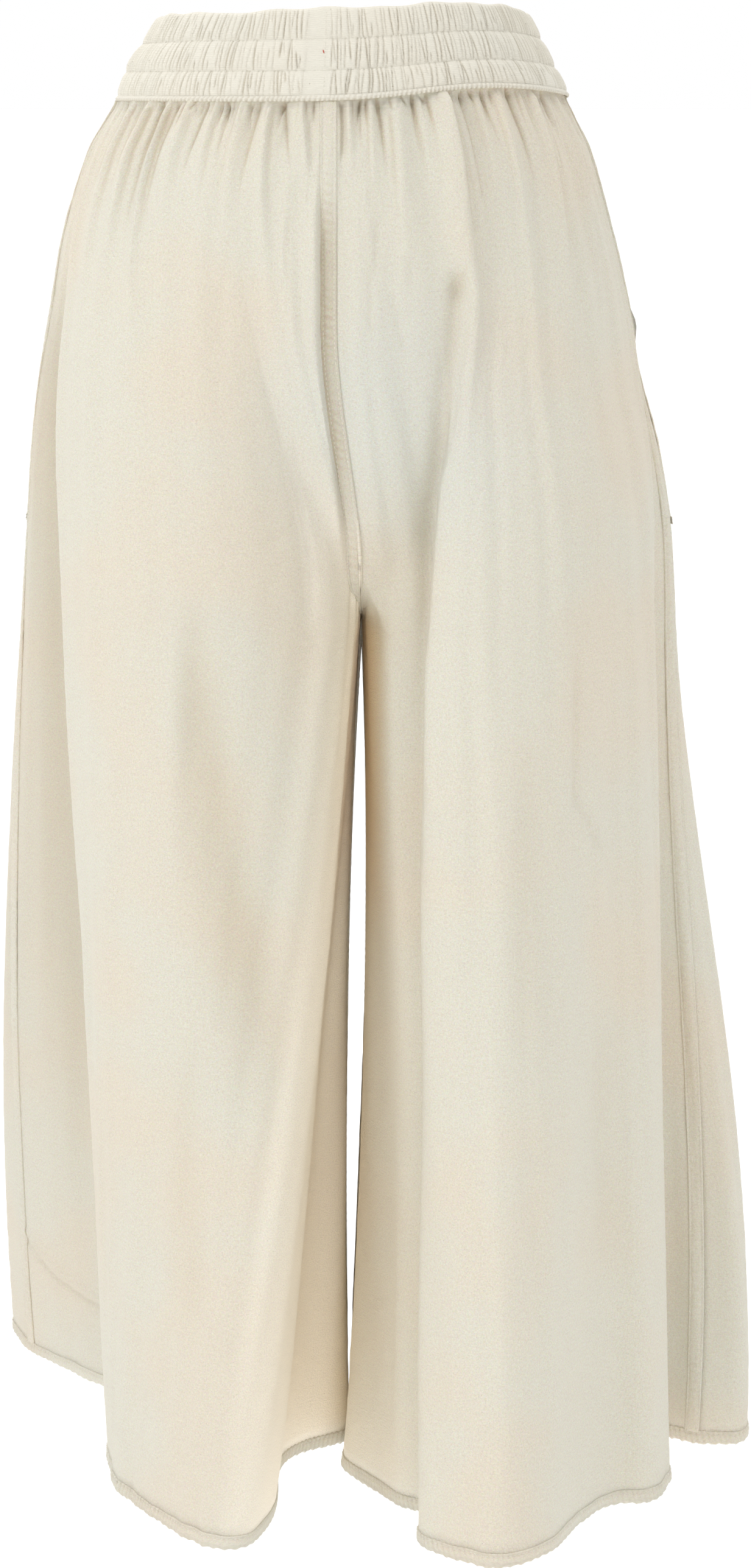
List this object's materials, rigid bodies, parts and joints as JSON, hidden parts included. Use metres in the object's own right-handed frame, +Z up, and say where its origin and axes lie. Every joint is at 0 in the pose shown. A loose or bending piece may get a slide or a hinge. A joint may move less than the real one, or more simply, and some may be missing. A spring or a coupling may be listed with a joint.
{
  "type": "palazzo trousers",
  "caption": "Wide-legged, full-length trousers hanging in deep flutes from a broad gathered elastic waistband, with side-seam pockets and narrow stitched hems.",
  "frame": {"origin": "centre of the waist seam, where the waistband holds the trousers on the wearer's waist", "axes": "+Z up the body, -Y the way the wearer faces, +X to the wearer's left"},
  "size_m": [0.5061, 0.4725, 0.9275],
  "materials": {
    "trouser_cloth": "matt, undyed cotton with fine slubs",
    "waistband_cloth": "matt, fine cross rib gathered over elastic",
    "pocket_cloth": "matt, undyed cotton"
  },
  "bodies": {
    "root": {"waistband": "waistband_cloth", "back_left": "trouser_cloth", "front_left": "trouser_cloth", "back_right": "trouser_cloth", "front_right": "trouser_cloth", "pocket_bag_left": "pocket_cloth", "pocket_bag_right": "pocket_cloth"}
  },
  "joints": []
}
